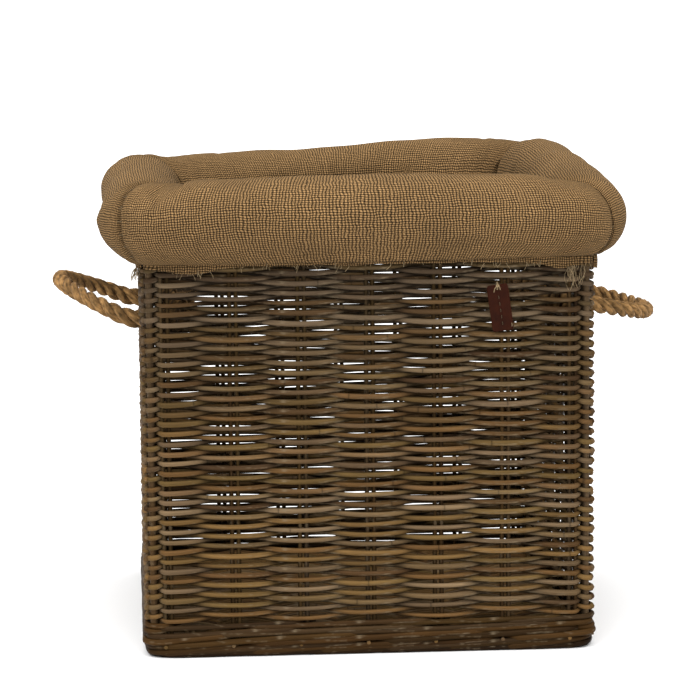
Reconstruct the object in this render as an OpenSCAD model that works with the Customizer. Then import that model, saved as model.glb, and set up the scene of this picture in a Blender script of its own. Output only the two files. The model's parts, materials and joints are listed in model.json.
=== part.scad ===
// Square wicker log basket with a padded hessian rim, two rope handles and a leather tag.
// Millimetres, +Z up. The origin is on the floor under the middle of the basket.
// +X points to the right-hand rope handle and -Y to the front, where the tag hangs.
// Every side is drawn as the front one, with its outside towards -Y, and turned into place.

/* [Basket] */
// Side of the square plan, over the weave
body_w = 450; // [400:2:500]
// Height of the wicker wall, which ends inside the padded rim
wall_h = 448; // [420:1:500]
// Pairs of upright stakes in each side
stake_pairs = 7; // [5:2:9]
// From the outside of the basket to the last pair of stakes
corner_inset = 24; // [22:1:30]

/* [Weave] */
// Thickness of one upright stake
stake_d = 4.5; // [3.5:0.1:5]
// Spacing of the two stakes of a pair
stake_gap = 6.5; // [6:0.1:8]
// Thickness of the post at each corner
post_d = 8; // [6:0.5:9]
// Thickness of a weaver
weaver_t = 4.6; // [4:0.1:4.8]
// Height from one row of weavers to the next
row_pitch = 5; // [5:0.1:6]

/* [Foot and base] */
// Height of the border that stands on the floor
foot_h = 12; // [8:1:16]
// Width of the foot border, seen from below
foot_w = 28; // [24:1:34]
// Rows of thick rods between the foot border and the weave
wale_rows = 4; // [2:1:5]
// Thickness of a wale rod
wale_t = 4.8; // [4:0.1:5]
// Height from one wale row to the next
wale_pitch = 6; // [5.4:0.2:8]
// Thickness of the rods of the base frame
base_frame_d = 10; // [8:0.5:12]
// Spacing of the pairs of base sticks
base_pitch = 60; // [50:1:62]

/* [Padded rim] */
// Radius of the padded roll
rim_r = 42; // [36:1:46]
// Thickness of the hessian cover
cover_t = 1.2; // [0.8:0.1:2]
// Depth of the wall inside the roll, above the roll's middle
rim_bite = 18; // [10:1:24]

/* [Rope handles] */
// Thickness of the rope
rope_d = 16; // [12:1:17]
// Spacing of the two places where a rope passes the wall
handle_span = 200; // [190:2:208]
// From the hinge line at the wall to the middle of the rope at its tip
handle_reach = 76; // [70:1:95]
// Height of the places where the ropes pass the wall
handle_z = 328; // [300:1:335]
// How far the left handle rises above level at rest, in degrees
left_rise = 22; // [-20:1:30]
// How far the right handle rises above level at rest, in degrees
right_rise = -6; // [-20:1:30]
// Radius of the knots that stop the ropes inside
knot_r = 15; // [12:1:16]

/* [Leather tag] */
// Width of the tag
tag_w = 21; // [16:1:30]
// Length of the tag
tag_l = 46; // [36:1:60]
// Thickness of the leather
tag_t = 2.4; // [1.6:0.1:3]
// Sideways place of the tag's tie, from the middle of the front
tag_x = 125; // [100:1:126]
// Height of the tag's tie
tag_z = 366; // [345:1:370]
// How far the tag hangs from plumb at rest, in degrees
tag_lean = 8; // [-10:1:10]

/* [Hidden] */
$fn = 48;
fit = 0.3;                       // clearance between pieces that only lie together
stake_side = stake_d / 2 + weaver_t / 2 + fit;    // middle of a weaver from the wall's middle
wall_t = 2 * (stake_side + weaver_t / 2);
mid = body_w / 2 - wall_t / 2;   // the wall's middle plane
stake_pitch = (body_w - 2 * corner_inset) / (stake_pairs - 1);
wall_pairs = [for (i = [0 : stake_pairs - 1]) (i - (stake_pairs - 1) / 2) * stake_pitch];
pair_flat = stake_gap / 2 + stake_d / 2 + 1.5;    // half of the flat stretch past a pair
post_side = mid - post_d / 2 - fit;               // where the rods of a wall meet a corner post
wale_top = foot_h + wale_rows * wale_pitch;
border_h = 10;                   // height of the border at the top of the wall
border_z = wall_h - border_h;
rows = floor((border_z - wale_top) / row_pitch);
rim_z = wall_h - rim_bite;
foam_r = rim_r - cover_t - fit;
base_z = foot_h + wall_t / 2 + 1;                 // middle plane of the woven base
frame_side = mid - wall_t / 2 - base_frame_d / 2 - 0.6;
base_half = frame_side - base_frame_d / 2 - fit;  // half of the base inside its frame
base_pairs = [for (i = [-3 : 3]) i * base_pitch];
base_row_pitch = 10;
base_rows = floor((2 * base_half - weaver_t) / base_row_pitch);
rope_r = rope_d / 2;
hinge_out = wall_t / 2 + rope_r + 1;              // hinge line from the wall's middle
rope_end_r = rope_r - 0.6;                        // rounded end of a loop, a little slimmer than the rope
window = rope_d + 1.6;           // gap among the weavers where a rope passes
twine_d = 1.4;
ring_r = 3.4;                    // the tie's ring, through the tag's hole and round a weaver
ring_out = wall_t / 2 + ring_r + twine_d / 2 + fit;
tag_hole_r = 2.3;
tag_hole_drop = 4.6;             // from the tag's top edge to its hole
stitch_d = 1;

FRONT = 0;
RIGHT = 1;
BACK = 2;
LEFT = 3;

// ---- shared shapes ----

// Turns a front piece, drawn about the wall's middle plane, to its own side
module on_side(side) {
    rotate(90 * side) translate([0, -mid, 0]) children();
}

// Which face of the wall a rod takes at pair i: -1 outside, 1 inside
function face(i, phase, period) = (i + phase) % period == 0 ? 1 : -1;

// Middle line of a rod in plan, level with the wall's middle at both corners
function rod_line(pairs, half, swing, phase, period) = [
    [-half, 0],
    for (i = [0 : len(pairs) - 1])
        for (end = [-1, 1])
            [pairs[i] + end * pair_flat, swing * face(i, phase, period)],
    [half, 0]
];

// One edge of a rod: its middle line moved by shift, with mitred ends
function rod_edge(line, shift) = [
    for (i = [0 : len(line) - 1])
        let (end = i == 0 ? -1 : i == len(line) - 1 ? 1 : 0)
            [line[i].x - end * shift, line[i].y + shift]
];

function backwards(list) = [for (i = [len(list) - 1 : -1 : 0]) list[i]];

// A rod that passes the pairs on alternate faces, thick by thick in section
module rod(pairs, half, thick, swing, phase, period) {
    line = rod_line(pairs, half, swing, phase, period);
    linear_extrude(thick)
        polygon(concat(rod_edge(line, -thick / 2), backwards(rod_edge(line, thick / 2))));
}

// Keeps what lies between the two mitres of a side
module mitred(reach) {
    far = mid - fit / 2;
    intersection() {
        children();
        linear_extrude(2 * wall_h)
            polygon([
                [-far - reach, -reach], [far + reach, -reach],
                [far - reach, reach], [-far + reach, reach]
            ]);
    }
}

// Sweeps a section, drawn about the roll's middle, along a side
module roll() {
    reach = 2 * rim_r;
    mitred(reach)
        translate([-mid - reach, 0, rim_z])
            rotate([90, 0, 90])
                linear_extrude(2 * (mid + reach)) children();
}

module rounded_square(size, r) {
    square([size, size - 2 * r], center = true);
    square([size - 2 * r, size], center = true);
    for (x = [-1, 1], y = [-1, 1])
        translate([x, y] * (size / 2 - r)) circle(r);
}

module rope_windows() {
    for (x = [-1, 1])
        translate([x * handle_span / 2, 0, handle_z])
            cube([window, 2 * wall_t, window], center = true);
}

// ---- wicker ----

module wall_weavers(side) {
    color("#7d6b4f")
        for (row = [0 : rows - 1])
            translate([0, 0, wale_top + row * row_pitch])
                rod(wall_pairs, post_side - weaver_t / 2, weaver_t, stake_side, row + side, 2);
}

module weavers(side) {
    has_rope = side == RIGHT || side == LEFT;
    on_side(side)
        difference() {
            wall_weavers(side);
            if (has_rope) rope_windows();
        }
}

module stakes(side) {
    color("#5f4c35")
        on_side(side)
            for (x = wall_pairs, half_gap = [-stake_gap / 2, stake_gap / 2])
                translate([x + half_gap, 0, foot_h])
                    cylinder(h = border_z - foot_h, d = stake_d);
}

module corner_posts() {
    color("#5f4c35")
        for (x = [-mid, mid], y = [-mid, mid])
            translate([x, y, foot_h]) cylinder(h = border_z - foot_h, d = post_d);
}

module foot_border() {
    color("#54432f")
        linear_extrude(foot_h)
            difference() {
                rounded_square(body_w, 14);
                rounded_square(body_w - 2 * foot_w, 6);
            }
}

module foot_wale() {
    swing = stake_d / 2 + wale_t / 2 + fit;
    color("#6a5639")
        for (side = [FRONT : LEFT], row = [0 : wale_rows - 1])
            on_side(side)
                translate([0, 0, foot_h + fit + row * wale_pitch])
                    rod(wall_pairs, post_side - wale_t / 2, wale_t, swing, row + side, 3);
}

module top_border() {
    color("#6a5639")
        translate([0, 0, border_z])
            linear_extrude(border_h)
                difference() {
                    rounded_square(2 * mid + wall_t, 10);
                    square(2 * mid - wall_t, center = true);
                }
}

// ---- base ----

module base_frame() {
    color("#5f4c35")
        for (side = [FRONT : LEFT])
            rotate(90 * side)
                intersection() {
                    translate([-body_w / 2, -frame_side, foot_h + base_frame_d / 2])
                        rotate([0, 90, 0]) cylinder(h = body_w, d = base_frame_d);
                    linear_extrude(body_w)
                        polygon([[0, 0], [-body_w, -body_w], [body_w, -body_w]]);
                }
}

module base_sticks() {
    color("#5f4c35")
        for (x = base_pairs, half_gap = [-stake_gap / 2, stake_gap / 2])
            translate([x + half_gap, base_half, base_z])
                rotate([90, 0, 0]) cylinder(h = 2 * base_half, d = stake_d);
}

module base_weavers() {
    first = -(base_rows - 1) / 2 * base_row_pitch;
    color("#7d6b4f")
        for (row = [0 : base_rows - 1])
            translate([0, first + row * base_row_pitch + weaver_t / 2, base_z])
                rotate([90, 0, 0])
                    rod(base_pairs, base_half - weaver_t, weaver_t, stake_side, row, 2);
}

// ---- padded rim ----

module foam(side) {
    slot = wall_t + 2 * fit;
    color("#efe6cf")
        on_side(side)
            roll()
                difference() {
                    circle(foam_r);
                    translate([-slot / 2, -2 * rim_r])
                        square([slot, 2 * rim_r + rim_bite + fit]);
                }
}

module cover(side) {
    mouth = wall_t + 2 * fit;
    color("#b08d5e")
        on_side(side)
            roll()
                difference() {
                    circle(rim_r);
                    circle(rim_r - cover_t);
                    translate([-mouth / 2, -2 * rim_r]) square([mouth, 2 * rim_r]);
                }
}

// Short stitches that cross the mitre between two cover panels
module corner_seams() {
    stitches = 14;
    length = 7;
    color("#8f7147")
        for (side = [FRONT : LEFT], i = [0 : stitches - 1])
            let (
                a = -60 + i * 300 / (stitches - 1),
                // in the inside corner a straight stitch stands off further to clear both panels
                r = rim_r + stitch_d / 2 + fit + length / 2 * max(0, -cos(a)) / sqrt(2),
                out = -r * cos(a),
                up = r * sin(a)
            )
                rotate(90 * side)
                    translate([mid - out, -mid + out, rim_z + up])
                        rotate([0, 90, 45])
                            cylinder(h = length, d = stitch_d, center = true, $fn = 16);
}

// Twine stitches that hold the hem of the cover to the wicker, one in each bay
module hem_stitches() {
    drop = sqrt(pow(rim_r, 2) - pow(wall_t / 2, 2));
    color("#a5854f")
        for (side = [FRONT : LEFT], i = [0 : stake_pairs - 2])
            on_side(side)
                translate([
                    wall_pairs[i] + stake_pitch / 2,
                    -wall_t / 2 - stitch_d / 2 - fit,
                    rim_z - drop - 6
                ])
                    cylinder(h = 6, d = stitch_d, $fn = 16);
}

// ---- rope handles ----

// A stretch of rope along -Y from the origin
module straight_rope(length) {
    rotate([90, 0, 0]) cylinder(h = length, r = rope_r);
}

// The loop outside the wall: one arc, turned by rise about the hinge line at its two ends
module rope_loop(side, rise) {
    half_span = handle_span / 2;
    arc_r = (pow(half_span, 2) + pow(handle_reach, 2)) / (2 * handle_reach);
    half_turn = asin(half_span / arc_r);
    color("#a9814a")
        on_side(side)
            translate([0, -hinge_out, handle_z])
                rotate([-rise, 0, 0]) {
                    translate([0, arc_r - handle_reach, 0])
                        rotate(-90 - half_turn)
                            rotate_extrude(angle = 2 * half_turn)
                                translate([arc_r, 0]) circle(rope_r);
                    for (x = [-1, 1])
                        translate([x * half_span, 0, 0]) sphere(rope_end_r);
                }
}

// The two rope ends inside the wall, each stopped by a knot
module rope_tails(side) {
    color("#9a7440")
        on_side(side)
            for (x = [-1, 1])
                translate([x * handle_span / 2, wall_t / 2 + knot_r, handle_z]) {
                    straight_rope(wall_t + knot_r);
                    sphere(knot_r);
                }
}

// ---- leather tag ----

module at_tag_tie() {
    translate([tag_x, -mid - ring_out, tag_z]) children();
}

module tag_twine() {
    color("#b79b6c")
        at_tag_tie()
            rotate([0, 90, 0])
                rotate_extrude() translate([ring_r, 0]) circle(d = twine_d, $fn = 24);
}

module leather_tag() {
    groove = 0.5;
    margin = 5;
    color("#4a2417")
        at_tag_tie()
            rotate([0, -tag_lean, 0])
                difference() {
                    translate([-tag_w / 2, -tag_t / 2, tag_hole_drop - ring_r - tag_l])
                        cube([tag_w, tag_t, tag_l]);
                    translate([0, tag_t, -ring_r])
                        rotate([90, 0, 0]) cylinder(h = 2 * tag_t, r = tag_hole_r);
                    translate([
                        -groove / 2, -tag_t, tag_hole_drop - ring_r - tag_l + margin
                    ])
                        cube([groove, tag_t / 2 + groove, tag_l - tag_hole_drop - 3 * margin]);
                }
}

// ---- nodes ----

weavers(FRONT);  // front_weavers
weavers(RIGHT);  // right_weavers
weavers(BACK);  // back_weavers
weavers(LEFT);  // left_weavers
stakes(FRONT);  // front_stakes
stakes(RIGHT);  // right_stakes
stakes(BACK);  // back_stakes
stakes(LEFT);  // left_stakes
corner_posts();
foot_border();
foot_wale();
top_border();
base_frame();
base_sticks();
base_weavers();
foam(FRONT);  // front_foam
foam(RIGHT);  // right_foam
foam(BACK);  // back_foam
foam(LEFT);  // left_foam
cover(FRONT);  // front_cover
cover(RIGHT);  // right_cover
cover(BACK);  // back_cover
cover(LEFT);  // left_cover
corner_seams();
hem_stitches();
rope_tails(LEFT);  // left_rope_tails
rope_tails(RIGHT);  // right_rope_tails
rope_loop(LEFT, left_rise);  // left_rope_loop
rope_loop(RIGHT, right_rise);  // right_rope_loop
tag_twine();
leather_tag();
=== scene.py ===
"""Looks of the square wicker log basket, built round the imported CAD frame. Metres, Z up."""
import json
from math import ceil, cos, exp, pi, radians, sin, sqrt, tau

import bmesh
import bpy
import numpy as np
from mathutils import Euler, Matrix, Vector, noise


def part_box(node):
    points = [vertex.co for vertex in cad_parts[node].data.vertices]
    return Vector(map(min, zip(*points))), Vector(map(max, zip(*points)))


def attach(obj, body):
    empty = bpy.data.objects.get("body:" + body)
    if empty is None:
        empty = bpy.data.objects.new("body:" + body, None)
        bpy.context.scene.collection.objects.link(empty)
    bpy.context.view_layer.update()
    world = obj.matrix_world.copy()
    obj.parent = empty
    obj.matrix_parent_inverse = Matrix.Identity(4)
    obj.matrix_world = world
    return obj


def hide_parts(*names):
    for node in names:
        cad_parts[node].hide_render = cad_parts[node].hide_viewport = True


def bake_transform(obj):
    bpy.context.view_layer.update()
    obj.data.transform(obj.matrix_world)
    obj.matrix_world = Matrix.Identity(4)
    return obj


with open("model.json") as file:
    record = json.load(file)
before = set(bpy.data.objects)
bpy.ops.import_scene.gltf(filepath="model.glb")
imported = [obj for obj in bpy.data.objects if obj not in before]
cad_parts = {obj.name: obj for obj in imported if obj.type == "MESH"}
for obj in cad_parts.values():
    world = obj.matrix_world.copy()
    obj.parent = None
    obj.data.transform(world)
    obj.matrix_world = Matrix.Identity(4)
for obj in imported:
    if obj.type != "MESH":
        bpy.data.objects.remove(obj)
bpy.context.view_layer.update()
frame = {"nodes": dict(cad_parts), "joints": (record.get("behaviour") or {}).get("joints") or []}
joints = {j["name"]: j for j in frame["joints"]}
MM = 0.001


# ---- measures

weave_low, weave_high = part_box("front_weavers")
WALL = -(weave_low.y + weave_high.y) / 2  # middle plane of each wall from the centre
WALL_T = weave_high.y - weave_low.y
STAKE_D = 4.5 * MM
PAIR_GAP = 6.5 * MM
PAIRS = 7
LAST_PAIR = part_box("front_stakes")[1].x - (PAIR_GAP + STAKE_D) / 2
PAIR_PITCH = 2 * LAST_PAIR / (PAIRS - 1)
POST_D = 8 * MM
CORNER = 11 * MM  # radius of the wall's middle line at a corner
SIDE_LENGTH = 2 * (WALL - CORNER) + pi / 2 * CORNER
LAP = 4 * SIDE_LENGTH  # once round the wall's middle line
WEAVER_R = 2.45 * MM
BOW = 1.15 * MM  # how far a rod droops where it passes outside a pair
ROW_PITCH = 4.9 * MM
FOOT_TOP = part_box("foot_border")[1].z
WEAVE_BOTTOM = weave_low.z
WEAVE_TOP = weave_high.z

cover_low, cover_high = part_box("front_cover")
RIM_R = (cover_high.y - cover_low.y) / 2
RIM_Z = cover_high.z - RIM_R

ROPE_R = 8 * MM
ROPE_SPAN = 200 * MM
ROPE_REACH = 79 * MM
ROPE_LAY = 46 * MM  # length in which a strand makes one turn
LEFT_RISE = radians(24)
RIGHT_RISE = radians(-13)
ROPE_SHIFT = {"left": -4 * MM, "right": 5 * MM}  # how far a rope lies above its hinge line at the wall
SIDES = ("front", "right", "back", "left")
UP = np.array([0.0, 0.0, 1.0])


# ---- meshes

def add_object(name, data):
    obj = bpy.data.objects.new(name, data)
    bpy.context.scene.collection.objects.link(obj)
    return obj


class Shell:
    """Collects tubes and sheets, then makes one mesh object with a UV map and a colour on each point."""

    def __init__(self):
        self.points, self.tints, self.corners, self.totals, self.uvs = [], [], [], [], []
        self.count = 0

    def add(self, points, faces, uvs, tints):
        """faces: (n, k) indices into points; uvs: (n, k, 2)."""
        self.points.append(np.asarray(points, float))
        self.tints.append(np.asarray(tints, float))
        self.add_faces(np.asarray(faces) + self.count, uvs)
        self.count += len(points)

    def add_faces(self, faces, uvs):
        self.corners.append(faces.ravel())
        self.totals.append(np.full(len(faces), faces.shape[1]))
        self.uvs.append(np.asarray(uvs, float).reshape(-1, 2))

    def make(self, name, material):
        mesh = bpy.data.meshes.new(name)
        corners, totals = np.concatenate(self.corners), np.concatenate(self.totals)
        mesh.vertices.add(self.count)
        mesh.vertices.foreach_set("co", np.concatenate(self.points).astype(np.float32).ravel())
        mesh.loops.add(len(corners))
        mesh.loops.foreach_set("vertex_index", corners.astype(np.int32))
        mesh.polygons.add(len(totals))
        starts = np.concatenate([[0], np.cumsum(totals)[:-1]])
        mesh.polygons.foreach_set("loop_start", starts.astype(np.int32))
        mesh.update(calc_edges=True)
        mesh.polygons.foreach_set("use_smooth", np.ones(len(totals), bool))
        uv = mesh.uv_layers.new(name="grain")
        uv.data.foreach_set("uv", np.concatenate(self.uvs).astype(np.float32).ravel())
        tint = mesh.color_attributes.new("tint", "FLOAT_COLOR", "POINT")
        colours = np.column_stack([np.concatenate(self.tints), np.ones(self.count)])
        tint.data.foreach_set("color", colours.astype(np.float32).ravel())
        mesh.materials.append(material)
        mesh.validate()
        return add_object(name, mesh)


def unit(v):
    return v / np.maximum(np.linalg.norm(v, axis=-1, keepdims=True), 1e-12)


def ease(t):
    """Rises smoothly from 0 to 1 while t goes from 0 to 1."""
    t = np.clip(t, 0, 1)
    return t * t * (3 - 2 * t)


def frames_up(path):
    """Side and up directions along a path, kept as near to upright as the path allows."""
    along = unit(np.gradient(path, axis=0))
    side = unit(np.cross(along, UP))
    return side, np.cross(side, along)


def frames_carried(path):
    """Two directions across a path, carried along it without twist."""
    along = unit(np.gradient(path, axis=0))
    first = np.empty_like(along)
    start = np.cross(along[0], UP)
    first[0] = unit(start if np.linalg.norm(start) > 0.1 else np.cross(along[0], [1.0, 0.0, 0.0]))
    for i in range(1, len(path)):
        first[i] = unit(first[i - 1] - along[i] * (first[i - 1] @ along[i]))
    return first, np.cross(along, first)


def lengths(path):
    steps = np.linalg.norm(np.diff(path, axis=0), axis=1)
    return np.concatenate([[0], np.cumsum(steps)])


def tube(shell, path, radius, tint, sides=8, across=None, bumps=None, start=0.0):
    """Adds a closed tube round a path. radius and tint are one value or one for each point."""
    path = np.asarray(path, float)
    n = len(path)
    a, b = across if across is not None else frames_carried(path)
    angles = np.arange(sides) * tau / sides
    radii = np.broadcast_to(np.asarray(radius, float), (n,))[:, None] * np.ones(sides)
    if bumps is not None:
        radii = radii * bumps
    ring = (
        path[:, None]
        + a[:, None] * (radii * np.cos(angles))[..., None]
        + b[:, None] * (radii * np.sin(angles))[..., None]
    )
    i, j = np.meshgrid(np.arange(n - 1), np.arange(sides), indexing="ij")
    k = (j + 1) % sides
    quads = np.stack([i * sides + j, i * sides + k, (i + 1) * sides + k, (i + 1) * sides + j], -1)
    s = lengths(path) + start
    u0, u1 = s[i], s[i + 1]
    v0, v1 = j / sides, (j + 1) / sides
    uvs = np.stack([u0, v0, u0, v1, u1, v1, u1, v0], -1).reshape(-1, 4, 2)
    tints = np.broadcast_to(np.asarray(tint, float), (n, 3)).repeat(sides, 0)
    before = shell.count
    shell.add(ring.reshape(-1, 3), quads.reshape(-1, 4), uvs, tints)
    first = before + np.arange(sides)[::-1]
    last = before + (n - 1) * sides + np.arange(sides)
    flat = np.stack([np.full(sides, s[0]), np.arange(sides) / sides], -1)
    shell.add_faces(first[None], flat[None])
    shell.add_faces(last[None], flat[None])


def slab(shell, front, back, uvs, tints, downward=False):
    """Adds a thin closed sheet from two (n, m, 3) grids. downward: the grids run down, not up."""
    n, m = front.shape[:2]
    i, j = np.meshgrid(np.arange(n - 1), np.arange(m - 1), indexing="ij")
    quads = np.stack([i * m + j, (i + 1) * m + j, (i + 1) * m + j + 1, i * m + j + 1], -1).reshape(-1, 4)
    edge = np.concatenate([
        np.arange(n) * m,
        (n - 1) * m + np.arange(1, m),
        np.arange(n - 2, -1, -1) * m + m - 1,
        np.arange(m - 2, 0, -1),
    ])
    after = np.roll(edge, -1)
    walls = np.stack([edge, edge + n * m, after + n * m, after], -1)
    if downward:
        quads, walls = quads[:, [0, 3, 2, 1]], walls[:, ::-1]
    shell.add(front.reshape(-1, 3), quads, uvs[quads], tints.reshape(-1, 3))
    shell.add(back.reshape(-1, 3), quads[:, ::-1], uvs[quads[:, ::-1]], tints.reshape(-1, 3))
    shell.add_faces(walls, uvs[walls % (n * m)])


def wobble(seed, x, scale, octaves=2):
    """Smooth noise from -1 to 1 along x, different for each seed."""
    total = np.zeros(len(x))
    for octave in range(octaves):
        f = 2 ** octave / scale
        total += [noise.noise((v * f, seed * 7.31, octave * 3.7)) / 2 ** octave for v in x]
    return total


def smooth_route(points, spacing, passes):
    """Resamples a route at even steps and rounds its corners, with both ends kept."""
    points = np.asarray(points, float)
    s = lengths(points)
    at = np.linspace(0, s[-1], int(ceil(s[-1] / spacing)) + 1)
    path = np.stack([np.interp(at, s, points[:, k]) for k in range(3)], -1)
    for _ in range(passes):
        path[1:-1] = (path[:-2] + 2 * path[1:-1] + path[2:]) / 4
    return path


def claim(piece, body, slot, *nodes):
    """Says which body a piece moves with and which CAD nodes it replaces; slot, what it is made of, is not
    used.
    """
    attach(piece, body)
    if nodes:
        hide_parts(*nodes)


# ---- camera

CAMERA_AT = (-0.232, -3.132, 0.677)
LENS, SENSOR = 154.3, 36
DOWNWARD, TO_THE_RIGHT, ROLL = radians(7.28), radians(4.18), radians(-0.46)


def make_camera():
    data = bpy.data.cameras.new("camera")
    data.sensor_width = SENSOR
    data.lens = LENS
    data.clip_start, data.clip_end = 0.05, 2000
    cam = add_object("camera", data)
    cam.location = CAMERA_AT
    roll = Matrix.Rotation(ROLL, 3, "Z")
    aim = Euler((pi / 2 - DOWNWARD, 0, -TO_THE_RIGHT)).to_matrix()
    cam.rotation_euler = (aim @ roll).to_euler()
    bpy.context.scene.camera = cam


make_camera()


# ---- materials

class Nodes:
    """A new material, and short ways to add shader nodes to it."""

    def __init__(self, name):
        self.material = bpy.data.materials.new(name)
        self.material.use_nodes = True
        self.tree = self.material.node_tree
        self.tree.nodes.clear()
        out = self.add("OutputMaterial")
        self.shader = self.add("BsdfPrincipled")
        self.link(self.shader.outputs["BSDF"], out.inputs["Surface"])

    def add(self, kind):
        return self.tree.nodes.new("ShaderNode" + kind)

    def finish(self, colour, roughness, normal, specular, **values):
        """Wires up the shader. values: more of its inputs, written with _ for each space."""
        self.link(colour, self.shader.inputs["Base Color"])
        self.fill(self.shader.inputs["Roughness"], roughness)
        if normal is not None:
            self.link(normal, self.shader.inputs["Normal"])
        self.shader.inputs["Specular IOR Level"].default_value = specular
        for name, value in values.items():
            self.shader.inputs[name.replace("_", " ")].default_value = value
        return self.material

    def link(self, source, socket):
        self.tree.links.new(source, socket)

    def fill(self, socket, value):
        if isinstance(value, bpy.types.NodeSocket):
            self.link(value, socket)
        else:
            socket.default_value = value

    def uv(self, u, v, lift=0.0):
        """The grain UV, scaled by u along and v across."""
        source = self.add("UVMap")
        source.uv_map = "grain"
        scale = self.add("Mapping")
        scale.inputs["Scale"].default_value = (u, v, 1)
        scale.inputs["Location"].default_value = (lift, lift, lift)
        self.link(source.outputs["UV"], scale.inputs["Vector"])
        return scale.outputs["Vector"]

    def place(self, size):
        """The object's own coordinates, scaled by size."""
        source = self.add("TexCoord")
        scale = self.add("Mapping")
        scale.inputs["Scale"].default_value = (size, size, size)
        self.link(source.outputs["Object"], scale.inputs["Vector"])
        return scale.outputs["Vector"]

    def noise(self, vector, scale=1.0, detail=3.0, roughness=0.55):
        node = self.add("TexNoise")
        node.inputs["Scale"].default_value = scale
        node.inputs["Detail"].default_value = detail
        node.inputs["Roughness"].default_value = roughness
        self.link(vector, node.inputs["Vector"])
        return node.outputs["Fac"]

    def ramp(self, value, *stops):
        """Greys picked by value. stops: (place, grey)."""
        node = self.add("ValToRGB")
        ramp = node.color_ramp
        for place, _ in stops[2:]:
            ramp.elements.new(place)
        for element, (place, grey) in zip(ramp.elements, stops):
            element.position = place
            element.color = (grey, grey, grey, 1)
        self.link(value, node.inputs["Fac"])
        return node.outputs["Color"]

    def shade(self, share, colour, value, *stops):
        """Multiplies a colour by a ramp of greys."""
        return self.mix("MULTIPLY", share, colour, self.ramp(value, *stops))

    def tint(self):
        node = self.add("Attribute")
        node.attribute_name = "tint"
        return node.outputs["Color"]

    def math(self, what, *values):
        node = self.add("Math")
        node.operation = what
        for socket, value in zip(node.inputs, values):
            self.fill(socket, value)
        return node.outputs["Value"]

    def mix(self, blend, share, first, second):
        node = self.add("Mix")
        node.data_type, node.blend_type = "RGBA", blend
        self.fill(node.inputs["Factor"], share)
        self.fill(node.inputs[6], first)
        self.fill(node.inputs[7], second)
        return node.outputs[2]

    def bump(self, height, distance, strength=1.0):
        node = self.add("Bump")
        node.inputs["Distance"].default_value = distance
        node.inputs["Strength"].default_value = strength
        self.link(height, node.inputs["Height"])
        return node.outputs["Normal"]

    def span(self, value, low, high):
        """Maps 0..1 to low..high."""
        node = self.add("MapRange")
        self.fill(node.inputs["Value"], value)
        node.inputs["To Min"].default_value = low
        node.inputs["To Max"].default_value = high
        return node.outputs["Result"]


WORN_BARK = (0.19, 0.145, 0.09, 1)
YARN_PITCH = 2.4 * MM  # from one yarn of the hessian to the next
PORE = 0.7 * MM


def rattan_material():
    """Dry rattan: the rod's own tint, fine lengthwise grain, blotches of worn bark and a low gloss."""
    n = Nodes("rattan")
    grain = n.noise(n.uv(18, 9), detail=4, roughness=0.6)
    fibres = n.noise(n.uv(7, 34), detail=2)
    blotches = n.noise(n.uv(55, 1.6, 3.0), detail=3)
    colour = n.shade(1.0, n.tint(), grain, (0.3, 0.62), (0.7, 1.25))
    colour = n.shade(0.6, colour, fibres, (0.35, 0.7), (0.65, 1.15))
    bare = n.ramp(blotches, (0.56, 0.0), (0.7, 0.45))
    colour = n.mix("MIX", bare, colour, WORN_BARK)
    relief = n.bump(n.mix("MIX", 0.5, fibres, grain), 0.35 * MM)
    return n.finish(colour, n.span(grain, 0.45, 0.75), relief, 0.05)


def yarn_height(n, x, y):
    """Height of a plain weave at x, y, which count yarns: each set goes over and under the other."""
    across_x, across_y = (n.math("ABSOLUTE", n.math("SINE", n.math("MULTIPLY", v, pi))) for v in (x, y))
    row_x, row_y = (n.math("COSINE", n.math("MULTIPLY", n.math("FLOOR", v), pi)) for v in (x, y))
    over = n.math("MULTIPLY", row_x, row_y)
    over_x = n.math("MULTIPLY", n.math("MULTIPLY", over, across_y), 0.55)
    over_y = n.math("MULTIPLY", n.math("MULTIPLY", over, across_x), 0.55)
    warp = n.math("MULTIPLY", across_x, n.math("ADD", 0.45, over_x))
    weft = n.math("MULTIPLY", across_y, n.math("SUBTRACT", 0.45, over_y))
    return n.math("MAXIMUM", warp, weft)


def hessian_material():
    """Coarse plain weave of uneven jute yarns. The UV map is in metres."""
    n = Nodes("hessian")
    pitch = 1 / YARN_PITCH
    split = n.add("SeparateXYZ")
    n.link(n.uv(pitch, pitch), split.inputs["Vector"])
    shift = n.span(n.noise(n.uv(90, 90), detail=2), -0.9, 0.9)
    x = n.math("ADD", split.outputs["X"], shift)
    y = n.math("ADD", split.outputs["Y"], n.math("MULTIPLY", shift, -0.8))
    height = yarn_height(n, x, y)
    slub_x = n.noise(n.uv(pitch, 35), detail=1)
    slub_y = n.noise(n.uv(35, pitch, 9.0), detail=1)
    slubs = n.math("MULTIPLY", n.math("ADD", slub_x, slub_y), 0.5)
    patches = n.noise(n.uv(14, 14, 2.0), detail=3)
    # Painted shade in the gaps between yarns and painted highlight on the yarn crowns, picked by the
    # weave's height.
    colour = n.shade(1.0, n.tint(), height, (0.15, 0.03), (0.45, 0.36), (0.72, 1.1), (1.0, 1.75))
    colour = n.shade(0.9, colour, slubs, (0.36, 0.85), (0.66, 1.12))
    colour = n.shade(0.5, colour, patches, (0.3, 0.7), (0.7, 1.15))
    relief = n.bump(n.math("ADD", height, n.math("MULTIPLY", slubs, 0.9)), 0.9 * MM)
    return n.finish(
        colour, n.span(height, 0.98, 0.8), relief, 0.04,
        Sheen_Weight=0.03, Sheen_Roughness=0.6, Sheen_Tint=(0.9, 0.78, 0.55, 1),
    )


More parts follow.
